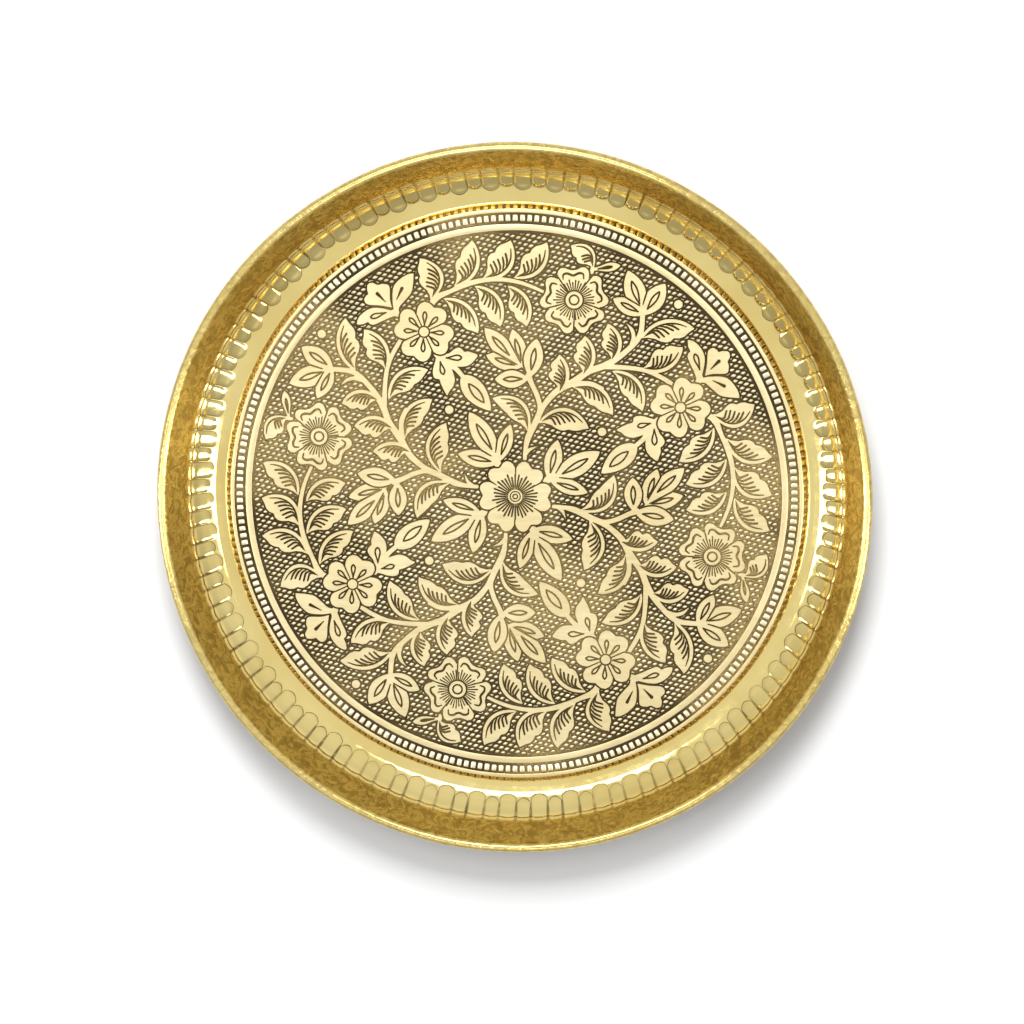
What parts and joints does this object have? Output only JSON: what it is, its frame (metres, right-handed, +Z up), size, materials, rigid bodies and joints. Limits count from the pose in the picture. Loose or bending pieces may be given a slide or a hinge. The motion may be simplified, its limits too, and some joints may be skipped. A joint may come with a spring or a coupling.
{
  "type": "brass tray",
  "caption": "Shallow round brass tray with a flower and leaf relief floor, a beaded border, a fluted flared wall and a rolled, wired edge.",
  "frame": {"origin": "centre of the circle that the heel stands on, at the tray's base", "axes": "+Z up along the tray's axis; the floor pattern has no front, its +Y is the picture's up"},
  "size_m": [0.155, 0.155, 0.0125],
  "materials": {
    "polished_brass": "polished, fine wiping scratches",
    "relief_brass": "satin, pressed relief",
    "antique_lacquer": "dark antique lacquer, wiped back unevenly",
    "edge_wire": "drawn wire"
  },
  "bodies": {
    "root": {"base_panel": "relief_brass", "antique_fill": "antique_lacquer", "heel_ring": "polished_brass", "side_wall": "polished_brass", "rim_roll": "polished_brass", "rim_wire": "edge_wire"}
  },
  "joints": []
}
